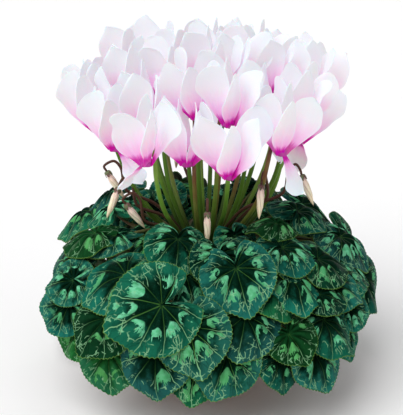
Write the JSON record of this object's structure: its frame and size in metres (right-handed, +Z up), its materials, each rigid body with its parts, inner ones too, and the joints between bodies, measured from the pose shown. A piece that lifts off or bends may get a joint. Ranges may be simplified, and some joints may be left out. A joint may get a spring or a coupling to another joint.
{
  "type": "potted plant",
  "caption": "Potted cyclamen: heart-shaped silver-marked leaves over a plain round pot, with upswept pink-throated blooms and nodding buds, for a windowsill, shelf or table.",
  "frame": {"origin": "centre of the pot's flat underside", "axes": "+Z up along the pot's axis, the pictured front of the plant towards -Y, +X to the right as seen in the picture"},
  "size_m": [0.3489, 0.3498, 0.361],
  "materials": {
    "pot": "plain moulded terracotta-coloured plastic, matt",
    "soil": "crumbly dark potting peat",
    "tuber": "corky brown skin",
    "leaf": "waxy dark green with silver-green markings and pale veins",
    "stalk": "smooth fleshy stalk, olive green to red-brown",
    "petal": "soft satin petal, white to pale pink with a magenta throat",
    "bud": "rolled cream bud, satin"
  },
  "bodies": {
    "root": {"pot": "pot", "soil": "soil", "tuber": "tuber", "leaf_spray_01": "leaf", "leaf_spray_02": "leaf", "leaf_spray_03": "leaf", "leaf_spray_04": "leaf", "leaf_spray_05": "leaf", "leaf_spray_06": "leaf", "leaf_spray_07": "leaf", "leaf_spray_08": "leaf", "leaf_spray_09": "leaf", "leaf_spray_10": "leaf", "leaf_spray_11": "leaf", "leaf_spray_12": "leaf", "leaf_spray_13": "leaf", "leaf_spray_14": "leaf", "flower_stalks": "stalk", "bloom_01": "petal", "bloom_02": "petal", "bloom_03": "petal", "bloom_04": "petal", "bloom_05": "petal", "bloom_06": "petal", "bloom_07": "petal", "bloom_08": "petal", "bloom_09": "petal", "bloom_10": "petal", "bloom_11": "petal", "bloom_12": "petal", "bloom_13": "petal", "bloom_14": "petal", "bloom_15": "petal", "bloom_16": "petal", "bud_01": "bud", "bud_02": "bud", "bud_03": "bud", "bud_04": "bud", "bud_05": "bud", "bud_06": "bud", "bud_07": "bud"}
  },
  "joints": []
}
